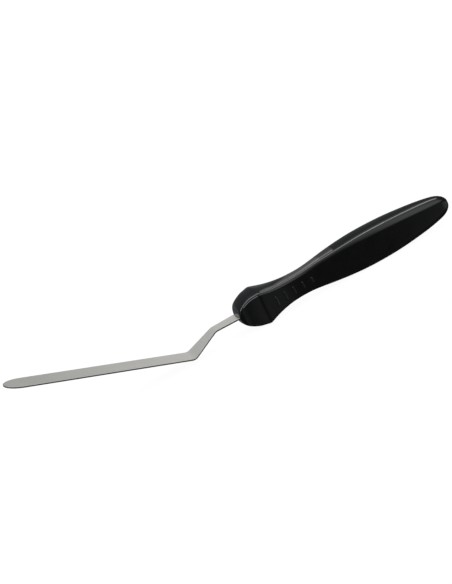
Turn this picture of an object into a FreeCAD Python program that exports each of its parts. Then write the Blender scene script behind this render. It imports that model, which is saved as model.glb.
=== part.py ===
import FreeCAD, Part
import math
import os

# Offset palette knife, lying on a table.  Millimetres, +X from the blade's tip to the handle's butt,
# +Z up, and XZ is the plane of symmetry.  It is drawn about the handle's axis, with x = 0 just in
# front of the handle.  At the end it is tilted to rest on the handle's two thickest places, and
# moved so that the origin is under the middle of its box.

# ---- blade: one stamped and bent steel strip ----
STRIP_THICKNESS = 0.8
SHANK_LENGTH = 10.9        # from x = 0 forward to the upper bend
CRANK_LENGTH = 16.1        # between the two bends
BLADE_LENGTH = 89.7        # from the lower bend to the tip
CRANK_ANGLE = 22.7         # downwards, going forward
BLADE_ANGLE = 20.5         # upwards, going forward
UPPER_BEND_RADIUS = 5.0    # to the middle of the strip
LOWER_BEND_RADIUS = 4.0
SHANK_WIDTH = 10.2
UPPER_BEND_WIDTH = 9.0
LOWER_BEND_WIDTH = 15.8
TIP_WIDTH = 17.4

# ---- tang: the hidden end of the strip ----
TANG_SHOULDER_X = 13.0
TANG_WIDTH = 5.4
TANG_END_X = 62.0
TANG_POINT_LENGTH = 5.0
LOCK_HOLES = ((8.5, 2.2), (52.0, 1.2))    # x and radius: the plastic flows through them

# ---- handle: x, half width, half height and edge radius of its rounded rectangular sections ----
# The half height is at the edges.  The domed top and bottom rise a little above it.
CREST = (14.4, 10.15, 8.13, 1.8)
HANDLE_SECTIONS = (
    (2.3, 5.7, 1.9, 1.0),
    (2.5, 6.1, 2.7, 1.1),
    (3.0, 6.8, 3.6, 1.2),
    (3.8, 7.5, 4.5, 1.3),
    (5.0, 8.0, 5.4, 1.4),
    (7.0, 8.4, 6.5, 1.6),
    (10.0, 9.0, 7.58, 1.7),
    (12.6, 9.72, 7.95, 1.75),
    CREST,
    (15.6, 9.93, 7.9, 1.83),
    (17.2, 9.47, 7.48, 1.9),
    (20.8, 8.5, 6.6, 1.9),
    (25.0, 7.3, 5.95, 1.9),
    (29.0, 6.3, 5.6, 1.9),
    (35.0, 5.5, 5.47, 1.9),
    (41.0, 5.2, 5.75, 2.0),
    (47.0, 5.5, 6.4, 2.0),
    (53.0, 6.3, 7.07, 2.1),
    (61.0, 7.25, 7.8, 2.4),
    (69.0, 7.8, 8.36, 3.0),
    (79.0, 8.1, 8.58, 3.7),
    (89.0, 7.9, 8.34, 4.1),
    (99.0, 7.1, 7.7, 4.4),
    (107.0, 6.1, 6.95, 4.5),
    (113.0, 5.0, 6.05, 4.2),
    (117.0, 3.9, 4.9, 3.4),
    (119.2, 2.7, 3.5, 2.4),
    (120.4, 1.6, 2.0, 1.4),
    (120.8, 0.6, 0.8, 0.5),
)
CROWN_ANGLE = 8.0          # slope of the domed top and bottom where they meet the rounded edges

# ---- finger ribs on both sides of the neck ----
RIB_COUNT = 5
FIRST_RIB_X = 21.4
RIB_PITCH = 5.1
FIRST_RIB_LENGTH = 5.4
LAST_RIB_LENGTH = 3.3
RIB_CENTRE_Z = -0.45
RIB_RADIUS = 0.6
RIB_PROUD = 0.25

REACH = 60.0               # how far the cutting prisms run past the blade

# ---- where the handle touches the table: the crest of its nose and the thickest part of its grip ----
NOSE_REST = CREST
GRIP_REST = max(HANDLE_SECTIONS, key=lambda section: section[2])


def xz(x, z):
    return FreeCAD.Vector(x, 0, z)


def forward(angle):
    """Unit vector towards the tip, rising by angle degrees."""
    slope = math.radians(angle)
    return xz(-math.cos(slope), math.sin(slope))


def strip_corners():
    """Corners of the strip's middle line, from the tang's end to the tip."""
    upper_bend = xz(-SHANK_LENGTH, 0)
    lower_bend = upper_bend + forward(-CRANK_ANGLE) * CRANK_LENGTH
    tip = lower_bend + forward(BLADE_ANGLE) * BLADE_LENGTH
    return xz(TANG_END_X, 0), upper_bend, lower_bend, tip


def bend(before, corner, after, radius):
    """Start, middle and end of the arc that rounds a corner."""
    back = (before - corner).normalize()
    ahead = (after - corner).normalize()
    half_angle = back.getAngle(ahead) / 2
    bisector = (back + ahead).normalize()
    setback = radius / math.tan(half_angle)
    middle = corner + bisector * (radius / math.sin(half_angle) - radius)
    return corner + back * setback, middle, corner + ahead * setback


def side_profile():
    """The strip seen from the side, as a face of its real thickness."""
    tang_end, upper_bend, lower_bend, tip = strip_corners()
    upper = bend(tang_end, upper_bend, lower_bend, UPPER_BEND_RADIUS)
    lower = bend(upper_bend, lower_bend, tip, LOWER_BEND_RADIUS)
    line = Part.Wire([
        Part.makeLine(tang_end, upper[0]),
        Part.Arc(*upper).toShape(),
        Part.makeLine(upper[2], lower[0]),
        Part.Arc(*lower).toShape(),
        Part.makeLine(lower[2], tip),
    ])
    half = STRIP_THICKNESS / 2
    top = line.makeOffset2D(half, join=2, openResult=True)
    bottom = line.makeOffset2D(-half, join=2, openResult=True)
    ends = []
    for place in (0, -1):
        pair = [side.OrderedVertexes[place].Point for side in (top, bottom)]
        ends.append(Part.makeLine(*pair))
    outline = Part.Wire(Part.__sortEdges__(top.Edges + bottom.Edges + ends))
    return Part.Face(outline)


def plan_prism():
    """The strip seen from above: shank, taper and tang, as a tall prism."""
    tang_end, upper_bend, lower_bend, tip = strip_corners()
    tip_centre_x = tip.x + TIP_WIDTH / 2 * math.cos(math.radians(BLADE_ANGLE))
    taper = (TIP_WIDTH - LOWER_BEND_WIDTH) / (lower_bend.x - tip_centre_x)
    past_tip = REACH / 2
    half_outline = [
        (tip_centre_x - past_tip, (TIP_WIDTH + taper * past_tip) / 2),
        (lower_bend.x, LOWER_BEND_WIDTH / 2),
        (upper_bend.x, UPPER_BEND_WIDTH / 2),
        (0, SHANK_WIDTH / 2),
        (TANG_SHOULDER_X, SHANK_WIDTH / 2),
        (TANG_SHOULDER_X, TANG_WIDTH / 2),
        (TANG_END_X - TANG_POINT_LENGTH, TANG_WIDTH / 2),
        (TANG_END_X, TANG_WIDTH / 6),
    ]
    near = [FreeCAD.Vector(x, -half, -REACH) for x, half in half_outline]
    far = [FreeCAD.Vector(x, half, -REACH) for x, half in reversed(half_outline)]
    outline = Part.makePolygon(near + far + near[:1])
    return Part.Face(outline).extrude(FreeCAD.Vector(0, 0, 2 * REACH))


def tip_prism():
    """The round tip, as a long prism square to the blade that holds the rest of the strip."""
    radius = TIP_WIDTH / 2
    length = BLADE_LENGTH + CRANK_LENGTH + SHANK_LENGTH + TANG_END_X + REACH
    near = FreeCAD.Vector(radius, -radius, -REACH)
    far = FreeCAD.Vector(radius, radius, -REACH)
    outline = Part.Wire([
        Part.makeLine(near + FreeCAD.Vector(length, 0, 0), near),
        Part.Arc(near, FreeCAD.Vector(0, 0, -REACH), far).toShape(),
        Part.makeLine(far, far + FreeCAD.Vector(length, 0, 0)),
        Part.makeLine(far + FreeCAD.Vector(length, 0, 0), near + FreeCAD.Vector(length, 0, 0)),
    ])
    prism = Part.Face(outline).extrude(FreeCAD.Vector(0, 0, 2 * REACH))
    prism.rotate(FreeCAD.Vector(), FreeCAD.Vector(0, 1, 0), BLADE_ANGLE)
    prism.translate(strip_corners()[3])
    return prism


def make_blade():
    """Blade, crank, shank and tang in one strip, with the tang's two locking holes."""
    strip = side_profile().extrude(FreeCAD.Vector(0, 2 * TIP_WIDTH, 0))
    strip.translate(FreeCAD.Vector(0, -TIP_WIDTH, 0))
    strip = strip.common(plan_prism()).common(tip_prism())
    for x, radius in LOCK_HOLES:
        hole = Part.makeCylinder(radius, 2 * STRIP_THICKNESS, FreeCAD.Vector(x, 0, -STRIP_THICKNESS))
        strip = strip.cut(hole)
    return strip.removeSplitter().Solids[0]


def crown_rise(half_width, radius):
    """How far the middle of a section's domed top stands above its edges."""
    lean = math.radians(CROWN_ANGLE)
    return (half_width - radius + radius * math.sin(lean)) * math.tan(lean / 2)


def section_wire(x, half_width, half_height, radius):
    """One section of the handle, square to its axis: flat sides, domed top and bottom, round edges."""
    lean = math.radians(CROWN_ANGLE)
    middle = (lean + math.pi / 2) / 2
    centre_y = half_width - radius
    centre_z = half_height - radius * math.cos(lean)
    on_side = (half_width, centre_z)
    on_corner = (centre_y + radius * math.sin(middle), centre_z + radius * math.cos(middle))
    on_top = (centre_y + radius * math.sin(lean), half_height)
    crown_top = (0, half_height + crown_rise(half_width, radius))

    def point(place, side, level):
        return FreeCAD.Vector(x, side * place[0], level * place[1])

    def corner(side, level):
        return [point(place, side, level) for place in (on_side, on_corner, on_top)]

    edges = []
    for side in (1, -1):
        edges.append(Part.makeLine(point(on_side, side, -side), point(on_side, side, side)))
        edges.append(Part.Arc(*corner(side, side)).toShape())
        crown = [point(on_top, side, side), point(crown_top, 1, side), point(on_top, -side, side)]
        edges.append(Part.Arc(*crown).toShape())
        edges.append(Part.Arc(*reversed(corner(-side, side))).toShape())
    return Part.Wire(edges)


def half_width_at(x):
    """The handle's half width at x, between its sections."""
    for (x0, width0, *_), (x1, width1, *_) in zip(HANDLE_SECTIONS, HANDLE_SECTIONS[1:]):
        if x0 <= x <= x1:
            return width0 + (width1 - width0) * (x - x0) / (x1 - x0)
    raise ValueError("x is off the handle")


def finger_ribs():
    """Round-ended upright ribs, shorter towards the butt, on both sides of the neck."""
    ribs = []
    for number in range(RIB_COUNT):
        x = FIRST_RIB_X + number * RIB_PITCH
        length = FIRST_RIB_LENGTH + (LAST_RIB_LENGTH - FIRST_RIB_LENGTH) * number / (RIB_COUNT - 1)
        straight = length - 2 * RIB_RADIUS
        for side in (-1, 1):
            y = side * (half_width_at(x) + RIB_PROUD - RIB_RADIUS)
            low = FreeCAD.Vector(x, y, RIB_CENTRE_Z - straight / 2)
            high = low + FreeCAD.Vector(0, 0, straight)
            rib = Part.makeCylinder(RIB_RADIUS, straight, low)
            for end in (low, high):
                rib = rib.fuse(Part.makeSphere(RIB_RADIUS, end))
            ribs.append(rib.removeSplitter())
    return ribs


def make_handle(blade):
    """The moulded grip, with its ribs, shaped round the tang."""
    grip = Part.makeLoft([section_wire(*section) for section in HANDLE_SECTIONS], True, False)
    grip = grip.fuse(finger_ribs())
    return grip.cut(blade).removeSplitter().Solids[0]


def rest_tilt():
    """Degrees that the butt is lifted, so that the nose comes down on the table."""
    (nose_x, nose_depth), (grip_x, grip_depth) = [
        (x, half_height + crown_rise(half_width, radius))
        for x, half_width, half_height, radius in (NOSE_REST, GRIP_REST)
    ]
    return math.degrees(math.atan2(grip_depth - nose_depth, grip_x - nose_x))


def main():
    os.makedirs("parts", exist_ok=True)
    blade = make_blade()
    nodes = {"blade": blade, "handle": make_handle(blade)}
    for shape in nodes.values():
        shape.rotate(FreeCAD.Vector(), FreeCAD.Vector(0, 1, 0), -rest_tilt())
    box = Part.makeCompound(list(nodes.values())).optimalBoundingBox(False, False)
    to_origin = FreeCAD.Vector(-(box.XMin + box.XMax) / 2, 0, -box.ZMin)
    for name, shape in nodes.items():
        shape.translate(to_origin)
        shape.exportStep(f"parts/{name}.step")
        size = shape.optimalBoundingBox(False, False)
        print(name, "valid", shape.isValid(), "solids", len(shape.Solids), "faces", len(shape.Faces),
              "volume", round(shape.Volume, 1),
              "x %.2f..%.2f y %.2f..%.2f z %.2f..%.2f" % (size.XMin, size.XMax, size.YMin, size.YMax,
                                                          size.ZMin, size.ZMax))
    print("tilted", round(rest_tilt(), 4), "moved by", tuple(round(value, 3) for value in to_origin))


main()
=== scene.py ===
import math

import bpy
import numpy as np
from mathutils import Matrix, Vector


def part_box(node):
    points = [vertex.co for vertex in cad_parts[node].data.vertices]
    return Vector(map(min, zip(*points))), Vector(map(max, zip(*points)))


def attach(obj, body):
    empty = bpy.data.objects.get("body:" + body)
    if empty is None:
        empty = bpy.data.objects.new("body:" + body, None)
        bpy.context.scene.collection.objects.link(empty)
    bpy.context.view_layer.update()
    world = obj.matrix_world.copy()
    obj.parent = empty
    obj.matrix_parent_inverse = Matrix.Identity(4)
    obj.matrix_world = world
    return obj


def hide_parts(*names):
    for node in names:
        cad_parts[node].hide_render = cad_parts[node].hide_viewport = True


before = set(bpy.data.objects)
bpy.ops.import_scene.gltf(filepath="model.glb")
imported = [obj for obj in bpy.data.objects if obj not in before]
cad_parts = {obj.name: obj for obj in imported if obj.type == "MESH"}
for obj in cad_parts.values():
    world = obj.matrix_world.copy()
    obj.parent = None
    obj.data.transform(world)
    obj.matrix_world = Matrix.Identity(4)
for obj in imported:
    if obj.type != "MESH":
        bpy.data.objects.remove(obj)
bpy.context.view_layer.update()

# Offset palette knife.  Shapes are drawn in millimetres about the handle's axis, as the CAD model is:
# +X runs to the butt, +Z up, and x = 0 is just in front of the handle.  They are then tilted on to
# the table and set to the CAD handle's box.
MM = 0.001

# ---- blade strip ----
STRIP_THICKNESS = 0.8
STRIP_EDGE_RADIUS = 0.16
SHANK_LENGTH = 10.9
CRANK_LENGTH = 16.1
BLADE_LENGTH = 89.7
CRANK_ANGLE = math.radians(22.7)
BLADE_ANGLE = math.radians(20.5)
UPPER_BEND_RADIUS = 5.0
LOWER_BEND_RADIUS = 4.0
SHANK_WIDTH = 10.2
UPPER_BEND_WIDTH = 9.0
LOWER_BEND_WIDTH = 15.8
TIP_WIDTH = 17.4
TANG_SHOULDER_X = 13.0
TANG_SHOULDER_LENGTH = 0.4
TANG_WIDTH = 5.4
TANG_POINT_X = 57.0
TANG_END_X = 62.0
PATH_STEP = 0.02
STATION_STEP = 0.5
TIP_STEPS = 28
EDGE_STEPS = 4
WIDTH_SMOOTHING = 1.1      # rounds the outline where the strip changes width

# ---- handle: x, half width, half height and edge radius of its sections ----
CREST = (14.4, 10.15, 8.13, 1.8)
HANDLE_SECTIONS = (
    (2.3, 5.7, 1.9, 1.0),
    (2.5, 6.1, 2.7, 1.1),
    (3.0, 6.8, 3.6, 1.2),
    (3.8, 7.5, 4.5, 1.3),
    (5.0, 8.0, 5.4, 1.4),
    (7.0, 8.4, 6.5, 1.6),
    (10.0, 9.0, 7.58, 1.7),
    (12.6, 9.72, 7.95, 1.75),
    CREST,
    (15.6, 9.93, 7.9, 1.83),
    (17.2, 9.47, 7.48, 1.9),
    (20.8, 8.5, 6.6, 1.9),
    (25.0, 7.3, 5.95, 1.9),
    (29.0, 6.3, 5.6, 1.9),
    (35.0, 5.5, 5.47, 1.9),
    (41.0, 5.2, 5.75, 2.0),
    (47.0, 5.5, 6.4, 2.0),
    (53.0, 6.3, 7.07, 2.1),
    (61.0, 7.25, 7.8, 2.4),
    (69.0, 7.8, 8.36, 3.0),
    (79.0, 8.1, 8.58, 3.7),
    (89.0, 7.9, 8.34, 4.1),
    (99.0, 7.1, 7.7, 4.4),
    (107.0, 6.1, 6.95, 4.5),
    (113.0, 5.0, 6.05, 4.2),
    (117.0, 3.9, 4.9, 3.4),
    (119.2, 2.7, 3.5, 2.4),
    (120.4, 1.6, 2.0, 1.4),
    (120.8, 0.6, 0.8, 0.5),
)
CROWN_ANGLE = math.radians(8.0)
DENSE_STEP = 0.1
RING_STEP = 0.55
SIDE_STEPS = 30            # points per quarter of a section
CORNER_STEPS = 8
CROWN_STEPS = 10

# ---- pocket in the handle that holds the tang ----
POCKET_GAP = 0.03
LIP_RADIUS = 0.18
NOSE_BULGE = 0.16          # how far the nose's front stands ahead of the foremost section

# ---- finger ribs ----
RIB_COUNT = 5
FIRST_RIB_X = 21.4
RIB_PITCH = 5.1
FIRST_RIB_LENGTH = 5.4
LAST_RIB_LENGTH = 3.3
RIB_CENTRE_Z = -0.45
RIB_RADIUS = 0.6
RIB_PROUD = 0.25
RIB_RINGS = 15             # rings of the skin across each rib
RIB_REACH = 1.1            # how far they reach from the rib's middle, in rib radii
RIB_CLEARANCE = 1.3        # and how far the ordinary rings stay away

# ---- camera ----
CAMERA_TARGET = (-0.002857, 0.0, 0.022113)
CAMERA_DISTANCE = 0.697519
CAMERA_AZIMUTH = math.radians(-9.8816)
CAMERA_ELEVATION = math.radians(15.4773)
CAMERA_ROLL = math.radians(25.8323)
CAMERA_LENS = 90.877

# ---- stage: metres, and radiance where a white floor in full light is about 1 ----
FLOOR_HALF_SIZE = 30.0
FLOOR_GLOW = 8.0           # times the floor's colour: it is lit from within, as a light table is
WARM, NEUTRAL, COOL = (1.0, 0.98, 0.93), (1.0, 0.99, 0.97), (0.78, 0.90, 1.0)
LIGHTS_TARGET = (0.02, 0, 0.01)
ARCH_BACK = 0.20           # the arch's panels are this far behind, and on a circle of radius 1
ARCH_DEPTH = 0.24
ARCH_PANEL_ANGLE = 24      # degrees that each panel spans
ARCH_PANELS = ((-60, 5.5), (-36, 5.5), (-12, 5.5), (12, 5.0), (36, 3.7))    # degrees, radiance
BLADE_ARCH = 1.0           # radiance of the overhead arch as the blade gets it
WINDOW_CENTRE = (-0.75, -1.20, 0.72)
WINDOW_SIZE = (0.70, 0.36)
WINDOW_RADIANCE = 5.2
CARD_Y = 0.06              # cards whose reflections run along the top of the neck and the grip
NECK_CARD_LEFT = (0.0395, 0.0395, 0.0395, 0.0420, 0.0445)
NECK_CARD_RIGHT = 0.0540
GRIP_CARD_RIGHT = 0.0640
CARD_BANDS = (             # low and high edge, radiance of the neck's card and of the grip's card
    (0.0195, 0.0300, 0.18, 0.10),
    (0.0300, 0.0385, 0.24, 0.11),
    (0.0385, 0.0455, 0.42, 0.16),
    (0.0455, 0.0520, 0.85, 0.40),
    (0.0520, 0.0640, 1.70, 1.20),
)
BLADE_CARD_Y = 0.12        # cards that the blade and its crank reflect
BLADE_CARD_LOW, BLADE_CARD_HIGH = 0.002, 0.055
BLADE_CARDS = (            # left and right edge, radiance
    (-0.14, -0.07, 0.285),
    (-0.07, -0.04, 0.46),
    (-0.04, -0.01, 0.53),
    (-0.01, 0.05, 0.65),
)
CRANK_CARD = (-0.10, 0.05, 0.055, 0.11, 0.52)    # left, right, low and high edge, radiance


# ---------------------------------------------------------------- shapes

def natural_spline(knots, values, at):
    """Natural cubic spline through the rows of values, read at the places in at."""
    count = len(knots)
    gaps = np.diff(knots)
    slopes = np.diff(values, axis=0) / gaps[:, None]
    system = np.eye(count)
    right = np.zeros_like(values)
    for i in range(1, count - 1):
        system[i, i - 1:i + 2] = gaps[i - 1], 2 * (gaps[i - 1] + gaps[i]), gaps[i]
        right[i] = 6 * (slopes[i] - slopes[i - 1])
    bend = np.linalg.solve(system, right)
    span = np.clip(np.searchsorted(knots, at) - 1, 0, count - 2)
    gap = gaps[span][:, None]
    before = (at - knots[span])[:, None]
    after = gap - before
    return (
        (bend[span] * after**3 + bend[span + 1] * before**3) / (6 * gap)
        + (values[span] / gap - bend[span] * gap / 6) * after
        + (values[span + 1] / gap - bend[span + 1] * gap / 6) * before
    )


def smooth(rows, step, sigma):
    """Rows smoothed along themselves by a bell of width sigma, with both ends kept."""
    reach = int(3 * sigma / step)
    bell = np.exp(-0.5 * (np.arange(-reach, reach + 1) * step / sigma) ** 2)
    bell /= bell.sum()
    middle = rows.copy()
    for column in range(rows.shape[1]):
        middle[reach:-reach, column] = np.convolve(rows[:, column], bell, "valid")
    return middle


def along(rows):
    """Distance along the rows' outline from the first row."""
    return np.concatenate([[0], np.cumsum(np.linalg.norm(np.diff(rows[:, :3], axis=0), axis=1))])


def spline_rows(sections):
    rows = np.array(sections, float)
    knots = along(rows)
    at = np.linspace(0, knots[-1], int(knots[-1] / DENSE_STEP))
    return natural_spline(knots, rows, at)


def rib_places():
    """x, and half the length between the rounded ends, of every finger rib."""
    for number in range(RIB_COUNT):
        length = FIRST_RIB_LENGTH + (LAST_RIB_LENGTH - FIRST_RIB_LENGTH) * number / (RIB_COUNT - 1)
        yield FIRST_RIB_X + number * RIB_PITCH, length / 2 - RIB_RADIUS


def handle_rows():
    """x, half width, half height and edge radius of every ring of the handle's skin."""
    dense = spline_rows(HANDLE_SECTIONS)
    place = along(dense)
    wanted = list(np.linspace(0, place[-1], int(place[-1] / RING_STEP)))
    for rib_x, _ in rib_places():
        middle = np.interp(rib_x, dense[:, 0], place)
        wanted = [w for w in wanted if abs(w - middle) > RIB_CLEARANCE * RIB_RADIUS]
        wanted += list(middle + RIB_RADIUS * np.linspace(-RIB_REACH, RIB_REACH, RIB_RINGS))
    wanted.sort()
    return np.stack([np.interp(wanted, place, dense[:, k]) for k in range(4)], axis=1)


def section_ring(x, half_width, half_height, radius, lean):
    """Points round one section, starting at the middle of its underside."""
    centre_y = half_width - radius
    centre_z = half_height - radius * math.cos(lean)
    edge_y = centre_y + radius * math.sin(lean)
    rise = edge_y * math.tan(lean) / 2
    quarter = [(half_width, z) for z in np.linspace(0, centre_z, SIDE_STEPS + 1)]
    for angle in np.linspace(0, math.pi / 2 - lean, CORNER_STEPS + 1)[1:]:
        quarter.append((centre_y + radius * math.cos(angle), centre_z + radius * math.sin(angle)))
    for share in np.linspace(1, 0, CROWN_STEPS + 1)[1:]:
        quarter.append((edge_y * share, half_height + rise * (1 - share * share)))
    upper = quarter + [(-y, z) for y, z in reversed(quarter[:-1])]
    lower = [(y, -z) for y, z in reversed(upper[1:-1])]
    ring = upper + lower
    start = len(quarter) - 1
    turned = ring[-start:] + ring[:-start]
    return np.array([(x, y, z) for y, z in turned])


def rib_rise(points):
    """How far the finger ribs lift each point of the skin outwards."""
    rise = np.zeros(len(points))
    for rib_x, half_straight in rib_places():
        past_end = np.maximum(abs(points[:, 2] - RIB_CENTRE_Z) - half_straight, 0)
        distance2 = (points[:, 0] - rib_x) ** 2 + past_end**2
        bump = np.sqrt(np.maximum(RIB_RADIUS**2 - distance2, 0)) - (RIB_RADIUS - RIB_PROUD)
        rise = np.maximum(rise, bump)
    return rise


def handle_rings():
    """The handle's skin from the butt to the nose, then round the slot's lip and along the pocket."""
    rows = handle_rows()[::-1]
    rings = []
    for row in rows:
        ring = section_ring(*row, CROWN_ANGLE)
        on_side = abs(ring[:, 1]) > 0.9 * row[1]
        ring[:, 1] += np.sign(ring[:, 1]) * rib_rise(ring) * on_side
        rings.append(ring)
    pocket_width = SHANK_WIDTH / 2 + POCKET_GAP
    pocket_height = STRIP_THICKNESS / 2 + POCKET_GAP
    tang_width = TANG_WIDTH / 2 + POCKET_GAP
    front = rings[-1]
    front_x = rows[-1][0]
    mouth = section_ring(front_x, pocket_width + LIP_RADIUS, pocket_height + LIP_RADIUS,
                         STRIP_EDGE_RADIUS + LIP_RADIUS, 0)
    for share in (0.25, 0.5, 0.75, 1.0):
        ring = front * (1 - share) + mouth * share
        ring[:, 0] = front_x - NOSE_BULGE * math.sin(share * math.pi / 2)
        rings.append(ring)
    mouth_x = rings[-1][0, 0]
    for angle in np.radians((30, 60, 90)):
        inset = LIP_RADIUS * (1 - math.sin(angle))
        rings.append(section_ring(mouth_x + LIP_RADIUS * (1 - math.cos(angle)), pocket_width + inset,
                                  pocket_height + inset, STRIP_EDGE_RADIUS + inset, 0))
    pocket = (
        (TANG_SHOULDER_X * 0.5, pocket_width),
        (TANG_SHOULDER_X, pocket_width),
        (TANG_SHOULDER_X + TANG_SHOULDER_LENGTH, tang_width),
        (TANG_POINT_X, tang_width),
        (TANG_END_X + POCKET_GAP, tang_width / 3),
    )
    for x, half_width in pocket:
        rings.append(section_ring(x, half_width, pocket_height, STRIP_EDGE_RADIUS, 0))
    return rings


def ladder(loop):
    """Faces across a loop whose points pair up about its first point."""
    faces = [(loop[0], loop[1], loop[-1])]
    count = len(loop)
    k = 1
    while k < count - k - 1:
        corners = (loop[k], loop[k + 1], loop[count - k - 1], loop[count - k])
        faces.append(tuple(dict.fromkeys(corners)))
        k += 1
    return faces


def skin(rings):
    """Points and faces of a closed skin through the rings, with both ends closed."""
    count = len(rings[0])
    faces = ladder(list(range(count)))
    for number in range(len(rings) - 1):
        low = number * count
        for i in range(count):
            j = (i + 1) % count
            faces.append((low + i, low + count + i, low + count + j, low + j))
    last = (len(rings) - 1) * count
    faces += [tuple(reversed(face)) for face in ladder(list(range(last, last + count)))]
    return np.vstack(rings), faces


def strip_path():
    """Distance along the strip from the tang's end, with x, z and heading there."""
    upper_turn = CRANK_ANGLE
    lower_turn = CRANK_ANGLE + BLADE_ANGLE
    upper_setback = UPPER_BEND_RADIUS * math.tan(upper_turn / 2)
    lower_setback = LOWER_BEND_RADIUS * math.tan(lower_turn / 2)
    pieces = (
        (TANG_END_X + SHANK_LENGTH - upper_setback, 0),
        (UPPER_BEND_RADIUS * upper_turn, -upper_turn),
        (CRANK_LENGTH - upper_setback - lower_setback, 0),
        (LOWER_BEND_RADIUS * lower_turn, lower_turn),
        (BLADE_LENGTH - lower_setback, 0),
    )
    places = np.concatenate([[0], np.cumsum([length for length, _ in pieces])])
    headings = np.concatenate([[0], np.cumsum([turn for _, turn in pieces])])
    s = np.linspace(0, places[-1], int(places[-1] / PATH_STEP))
    heading = np.interp(s, places, headings)
    middle = (heading[1:] + heading[:-1]) / 2
    step = s[1] - s[0]
    x = TANG_END_X - np.concatenate([[0], np.cumsum(np.cos(middle) * step)])
    z = np.concatenate([[0], np.cumsum(np.sin(middle) * step)])
    return s, x, z, heading


def strip_half_widths(s, x):
    """Half width of the strip along its path."""
    lower_bend_x = -SHANK_LENGTH - CRANK_LENGTH * math.cos(CRANK_ANGLE)
    tip_x = lower_bend_x - BLADE_LENGTH * math.cos(BLADE_ANGLE)
    outline = (
        (tip_x, TIP_WIDTH / 2),
        (tip_x + TIP_WIDTH / 2 * math.cos(BLADE_ANGLE), TIP_WIDTH / 2),
        (lower_bend_x, LOWER_BEND_WIDTH / 2),
        (-SHANK_LENGTH, UPPER_BEND_WIDTH / 2),
        (0, SHANK_WIDTH / 2),
        (TANG_SHOULDER_X - TANG_SHOULDER_LENGTH, SHANK_WIDTH / 2),
        (TANG_SHOULDER_X, TANG_WIDTH / 2),
        (TANG_POINT_X, TANG_WIDTH / 2),
        (TANG_END_X, TANG_WIDTH / 6),
    )
    xs, halves = np.array(outline).T
    half = np.interp(x, xs, halves)
    rounded = smooth(half[:, None], s[1] - s[0], WIDTH_SMOOTHING)[:, 0]
    half = np.where(x < 0, rounded, half)
    to_tip = np.clip(s[-1] - s, 0, TIP_WIDTH / 2)
    round_tip = np.sqrt(np.maximum((TIP_WIDTH / 2) ** 2 - (TIP_WIDTH / 2 - to_tip) ** 2, 0))
    return np.minimum(half, round_tip)


def blade_skin():
    """Points and faces of the strip, with rounded edges, and which edges bound its flat faces."""
    s, x, z, heading = strip_path()
    half = strip_half_widths(s, x)
    radius = TIP_WIDTH / 2
    tip_start = s[-1] - radius
    straight = np.linspace(0, tip_start, int(tip_start / STATION_STEP), endpoint=False)
    corners = (TANG_SHOULDER_X - TANG_SHOULDER_LENGTH, TANG_SHOULDER_X, TANG_POINT_X)
    marks = [np.interp(-corner, -x, s) for corner in corners]
    straight = np.unique(np.concatenate([straight, marks]))
    turn = np.linspace(0, math.pi / 2, TIP_STEPS)
    stations = np.concatenate([straight, tip_start + radius * np.sin(turn)])[::-1]
    halves = np.interp(stations, s, half)
    halves[0] = 0
    right = np.stack([stations, halves], axis=1)
    left = right[:0:-1] * (1, -1)
    outline = np.vstack([right, left])
    ahead = np.roll(outline, -1, axis=0) - np.roll(outline, 1, axis=0)
    inward = np.stack([-ahead[:, 1], ahead[:, 0]], axis=1)
    inward /= np.linalg.norm(inward, axis=1)[:, None]
    levels = []
    flat = STRIP_THICKNESS / 2 - STRIP_EDGE_RADIUS
    for angle in np.linspace(-math.pi / 2, 0, EDGE_STEPS):
        inset = STRIP_EDGE_RADIUS * (1 - math.cos(angle))
        levels.append((inset, -flat + STRIP_EDGE_RADIUS * math.sin(angle)))
    levels += [(inset, -height) for inset, height in reversed(levels)]
    count = len(outline)
    points = []
    for inset, height in levels:
        places = outline + inward * inset
        at = places[:, 0]
        slope = np.interp(at, s, heading)
        points.append(np.stack([
            np.interp(at, s, x) + height * np.sin(slope),
            places[:, 1],
            np.interp(at, s, z) + height * np.cos(slope),
        ], axis=1))
    faces = ladder(list(range(count)))
    for level in range(len(levels) - 1):
        low = level * count
        for i in range(count):
            j = (i + 1) % count
            faces.append((low + i, low + count + i, low + count + j, low + j))
    top = (len(levels) - 1) * count
    faces += [tuple(reversed(face)) for face in ladder(list(range(top, top + count)))]
    rims = {(start + i, start + (i + 1) % count) for start in (0, top) for i in range(count)}
    return np.vstack(points), faces, rims


def rest_tilt():
    """Angle that the butt is lifted by, so that nose and grip both rest on the table."""
    thickest = max(HANDLE_SECTIONS, key=lambda section: section[2])
    depths = []
    for _, half_width, half_height, radius in (CREST, thickest):
        crown = (half_width - radius + radius * math.sin(CROWN_ANGLE)) * math.tan(CROWN_ANGLE / 2)
        depths.append(half_height + crown)
    return math.atan2(depths[1] - depths[0], thickest[0] - CREST[0])


def tilted(points):
    tilt = rest_tilt()
    x = points[:, 0] * math.cos(tilt) - points[:, 2] * math.sin(tilt)
    z = points[:, 0] * math.sin(tilt) + points[:, 2] * math.cos(tilt)
    return np.stack([x, points[:, 1], z], axis=1) * MM


def make_piece(name, points, faces, sharp=()):
    mesh = bpy.data.meshes.new(name)
    mesh.from_pydata([tuple(point) for point in points], [], faces)
    mesh.validate()
    mesh.polygons.foreach_set("use_smooth", [True] * len(mesh.polygons))
    if sharp:
        wanted = {tuple(sorted(pair)) for pair in sharp}
        for edge in mesh.edges:
            edge.use_edge_sharp = tuple(sorted(edge.vertices)) in wanted
    piece = bpy.data.objects.new(name, mesh)
    bpy.context.scene.collection.objects.link(piece)
    return piece


# ---------------------------------------------------------------- materials

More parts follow.
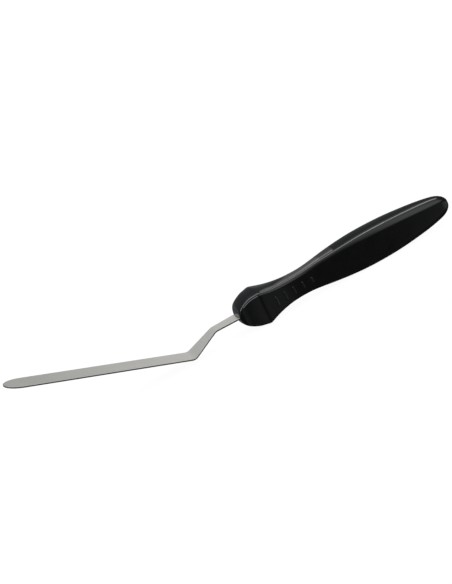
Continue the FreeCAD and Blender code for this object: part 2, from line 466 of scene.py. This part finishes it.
class Nodes:
    """The node tree of a material or of the world, under construction."""

    def __init__(self, owner, shader, coordinates):
        self.owner = owner
        owner.use_nodes = True
        self.tree = owner.node_tree
        self.shader = self.tree.nodes[shader]
        self.place = self.tree.nodes.new("ShaderNodeTexCoord").outputs[coordinates]

    def link(self, source, node, socket):
        self.tree.links.new(source, node.inputs[socket])

    def noise(self, scale, stretch=(1, 1, 1), detail=3.0, roughness=0.5):
        """Noise of so many features per metre, and fewer along an axis that is stretched."""
        mapping = self.tree.nodes.new("ShaderNodeMapping")
        mapping.inputs["Scale"].default_value = [scale / s for s in stretch]
        self.link(self.place, mapping, "Vector")
        noise = self.tree.nodes.new("ShaderNodeTexNoise")
        noise.inputs["Scale"].default_value = 1.0
        noise.inputs["Detail"].default_value = detail
        noise.inputs["Roughness"].default_value = roughness
        self.link(mapping.outputs["Vector"], noise, "Vector")
        return noise.outputs["Fac"]

    def remap(self, source, low, high, start=0.3, end=0.7):
        """Low to high, as the source goes smoothly from start to end."""
        remap = self.tree.nodes.new("ShaderNodeMapRange")
        remap.interpolation_type = "SMOOTHSTEP"
        remap.inputs["From Min"].default_value = start
        remap.inputs["From Max"].default_value = end
        remap.inputs["To Min"].default_value = low
        remap.inputs["To Max"].default_value = high
        self.link(source, remap, "Value")
        return remap.outputs["Result"]

    def math(self, operation, first, second):
        node = self.tree.nodes.new("ShaderNodeMath")
        node.operation = operation
        self.link(first, node, 0)
        self.link(second, node, 1)
        return node.outputs["Value"]

    def ramp(self, source, *stops):
        ramp = self.tree.nodes.new("ShaderNodeValToRGB")
        while len(ramp.color_ramp.elements) < len(stops):
            ramp.color_ramp.elements.new(0.5)
        for element, (position, colour) in zip(ramp.color_ramp.elements, stops):
            element.position = position
            element.color = (*colour, 1)
        self.link(source, ramp, "Fac")
        return ramp.outputs["Color"]

    def bump(self, height, distance, under=None):
        bump = self.tree.nodes.new("ShaderNodeBump")
        bump.inputs["Distance"].default_value = distance
        self.link(height, bump, "Height")
        if under is not None:
            self.link(under, bump, "Normal")
        return bump.outputs["Normal"]


def new_material(name):
    return Nodes(bpy.data.materials.new(name), "Principled BSDF", "Object")


def steel():
    """Satin steel: fine grinding lines along the strip, and faint cloudy patches."""
    m = new_material("satin_steel")
    lines = m.noise(2600, stretch=(140, 1, 140), detail=5, roughness=0.62)
    broad_lines = m.noise(520, stretch=(40, 1, 40), detail=2)
    clouds = m.noise(70, detail=3)
    m.link(m.ramp(lines, (0.30, (0.62, 0.615, 0.60)), (0.70, (0.68, 0.675, 0.66))),
           m.shader, "Base Color")
    m.shader.inputs["Metallic"].default_value = 1.0
    rough = m.math("ADD", m.remap(lines, 0.29, 0.37), m.remap(broad_lines, 0.0, 0.03))
    rough = m.math("ADD", rough, m.remap(clouds, 0.0, 0.05))
    m.link(rough, m.shader, "Roughness")
    normal = m.bump(lines, 0.0000015)
    m.link(m.bump(broad_lines, 0.000003, under=normal), m.shader, "Normal")
    return m.owner


def plastic():
    """Glossy moulded black plastic: faint flow streaks along the grip, fine peel and light wear."""
    m = new_material("black_moulded_plastic")
    streaks = m.noise(420, stretch=(16, 1, 1), detail=3)
    peel = m.noise(1500, detail=2)
    patches = m.noise(130, detail=4, roughness=0.6)
    hairlines = m.noise(3200, stretch=(60, 1, 1), detail=4, roughness=0.7)
    m.link(m.ramp(patches, (0.3, (0.0042, 0.0042, 0.0044)), (0.7, (0.0056, 0.0056, 0.0058))),
           m.shader, "Base Color")
    rough = m.math("ADD", m.remap(patches, 0.06, 0.11), m.remap(hairlines, 0.0, 0.06, 0.56, 0.74))
    m.link(rough, m.shader, "Roughness")
    m.shader.inputs["IOR"].default_value = 1.5
    normal = m.bump(peel, 0.0000005)
    m.link(m.bump(streaks, 0.000004, under=normal), m.shader, "Normal")
    return m.owner


def pale_floor():
    """A floor that is near white by its own even glow, so that hardly a shadow shows."""
    m = new_material("pale_floor")
    grain = m.noise(900, detail=3)
    tint = m.ramp(grain, (0.3, (0.118, 0.118, 0.118)), (0.7, (0.122, 0.122, 0.122)))
    m.link(tint, m.shader, "Base Color")
    m.link(m.remap(grain, 0.55, 0.65), m.shader, "Roughness")
    m.link(tint, m.shader, "Emission Color")
    m.shader.inputs["Emission Strength"].default_value = FLOOR_GLOW
    m.link(m.bump(grain, 0.00001), m.shader, "Normal")
    return m.owner


# ---------------------------------------------------------------- stage

def make_floor():
    h = FLOOR_HALF_SIZE
    floor = make_piece("floor", [(-h, -h, 0), (h, -h, 0), (h, h, 0), (-h, h, 0)], [(0, 1, 2, 3)])
    floor.data.materials.append(pale_floor())
    floor.visible_glossy = False


def softbox(name, centre, target, width, height, radiance, colour, up=(0, 0, 1), only=None):
    """A flat light of even brightness, facing its target, its width square to up.

    A collection in only limits the light to the pieces in it.
    """
    light = bpy.data.lights.new(name, "AREA")
    light.shape = "RECTANGLE"
    light.size = width
    light.size_y = height
    light.energy = radiance * math.pi * width * height
    light.color = colour
    back = (Vector(centre) - Vector(target)).normalized()
    right = Vector(up).cross(back).normalized()
    turn = Matrix((right, back.cross(right), back)).transposed().to_4x4()
    lamp = bpy.data.objects.new(name, light)
    lamp.matrix_world = Matrix.Translation(Vector(centre)) @ turn
    lamp.visible_camera = False
    bpy.context.scene.collection.objects.link(lamp)
    if only is not None:
        lamp.light_linking.receiver_collection = only


def card(name, left, right, low, high, y, radiance, colour, receiver):
    """A small upright card of light behind the knife, for one piece."""
    centre = ((left + right) / 2, y, (low + high) / 2)
    softbox(name, centre, (centre[0], 0, centre[2]), right - left, high - low, radiance, colour,
            only=receiver)


def make_lights(handle, blade):
    """An arch of softboxes over the knife, a window at the front left, and cards behind each piece.

    The gloss of the plastic needs far stronger lights than the steel does, so each piece has its own.
    """
    middle = Vector(LIGHTS_TARGET)
    for_handle, for_blade = (bpy.data.collections.new("lit_" + piece.name) for piece in (handle, blade))
    for_handle.objects.link(handle)
    for_blade.objects.link(blade)
    width = 2 * math.tan(math.radians(ARCH_PANEL_ANGLE / 2))
    for number, (degrees, radiance) in enumerate(ARCH_PANELS):
        angle = math.radians(degrees)
        centre = middle + Vector((math.sin(angle), ARCH_BACK, math.cos(angle)))
        for name, level, receiver in (
            ("arch_%d", radiance, for_handle),
            ("blade_arch_%d", BLADE_ARCH, for_blade),
        ):
            softbox(name % number, centre, middle, width, ARCH_DEPTH, level, WARM, (0, 1, 0), receiver)
    softbox("front_left_window", WINDOW_CENTRE, middle, *WINDOW_SIZE, WINDOW_RADIANCE, COOL,
            only=for_handle)
    for number, (left, band) in enumerate(zip(NECK_CARD_LEFT, CARD_BANDS)):
        low, high, neck, grip = band
        card("neck_card_%d" % number, left, NECK_CARD_RIGHT, low, high, CARD_Y, neck, NEUTRAL,
             for_handle)
        card("grip_card_%d" % number, NECK_CARD_RIGHT, GRIP_CARD_RIGHT, low, high, CARD_Y, grip,
             NEUTRAL, for_handle)
    for number, (left, right, radiance) in enumerate(BLADE_CARDS):
        card("blade_card_%d" % number, left, right, BLADE_CARD_LOW, BLADE_CARD_HIGH, BLADE_CARD_Y,
             radiance, WARM, for_blade)
    left, right, low, high, radiance = CRANK_CARD
    card("crank_card", left, right, low, high, BLADE_CARD_Y, radiance, WARM, for_blade)


def make_world():
    """A dim studio, brighter overhead and to the right, and dark low down in front."""
    w = Nodes(bpy.data.worlds.new("studio"), "Background", "Generated")
    split = w.tree.nodes.new("ShaderNodeSeparateXYZ")
    w.link(w.place, split, "Vector")
    right, far, level = (split.outputs[axis] for axis in "XYZ")

    def both(first, second):
        return w.math("MULTIPLY", first, second)

    def add(first, second):
        return w.math("ADD", first, second)

    light = add(w.remap(level, 0.015, 0.10, -0.03, 0.03), w.remap(level, 0.0, 0.75, 0.45, 0.98))
    table_behind = both(w.remap(level, 1.0, 0.0, 0.0, 0.20), w.remap(far, 0.0, 0.12, 0.45, 0.85))
    light = add(light, table_behind)
    in_front = both(w.remap(far, 1.0, 0.0, -0.5, 0.0), w.remap(level, 0.0, 1.0, 0.02, 0.40))
    not_overhead = w.remap(level, 1.0, 0.45, 0.5, 0.9)
    front_window = both(both(in_front, not_overhead), w.remap(right, 0.06, 1.15, 0.0, 0.60))
    light = add(light, front_window)
    left_side = both(w.remap(right, 0.13, 0.0, -0.40, -0.05), w.remap(right, 0.0, 1.0, -0.80, -0.60))
    sides = add(w.remap(right, 0.0, 0.20, 0.22, 1.0), left_side)
    sides = both(sides, w.remap(far, 1.0, 0.0, -0.5, -0.1))
    low_sides = both(sides, w.remap(level, 1.0, 0.0, -0.15, 0.05))
    light = add(light, low_sides)
    right_bounce = both(w.remap(right, 0.0, 0.38, 0.80, 0.97), w.remap(level, 1.0, 0.0, -0.25, -0.05))
    light = add(light, right_bounce)
    w.link(light, w.shader, "Strength")
    w.shader.inputs["Color"].default_value = (0.93, 0.97, 1.0, 1)
    bpy.context.scene.world = w.owner


def make_camera():
    azimuth, elevation, roll = CAMERA_AZIMUTH, CAMERA_ELEVATION, CAMERA_ROLL
    back = Vector((
        math.sin(azimuth) * math.cos(elevation),
        -math.cos(azimuth) * math.cos(elevation),
        math.sin(elevation),
    ))
    level_right = Vector((0, 0, 1)).cross(back).normalized()
    level_up = back.cross(level_right)
    right = level_right * math.cos(roll) - level_up * math.sin(roll)
    up = level_right * math.sin(roll) + level_up * math.cos(roll)
    camera = bpy.data.objects.new("camera", bpy.data.cameras.new("camera"))
    camera.data.lens = CAMERA_LENS
    camera.data.sensor_width = 36.0
    camera.data.clip_start = 0.01
    camera.data.clip_end = 200.0
    camera.matrix_world = Matrix.Translation(
        Vector(CAMERA_TARGET) + back * CAMERA_DISTANCE
    ) @ Matrix((right, up, back)).transposed().to_4x4()
    bpy.context.scene.collection.objects.link(camera)
    bpy.context.scene.camera = camera


# ---------------------------------------------------------------- knife

def make_knife():
    """Both pieces, set to the CAD handle's box."""
    handle_points, handle_faces = skin(handle_rings())
    handle_points = tilted(handle_points)
    blade_points, blade_faces, rims = blade_skin()
    blade_points = tilted(blade_points)
    low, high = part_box("handle")
    move = np.array([high.x - handle_points[:, 0].max(), 0, low.z - handle_points[:, 2].min()])
    handle = make_piece("moulded_handle", handle_points + move, handle_faces)
    blade = make_piece("blade_strip", blade_points + move, blade_faces, rims)
    for piece, node, slot, material in (
        (handle, "handle", "black_plastic", plastic()),
        (blade, "blade", "stainless_steel", steel()),
    ):
        piece.data.materials.append(material)
        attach(piece, "root")
        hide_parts(node)
    return handle, blade


make_camera()
knife = make_knife()
make_floor()
make_lights(*knife)
make_world()
bpy.context.scene.view_settings.view_transform = "Standard"
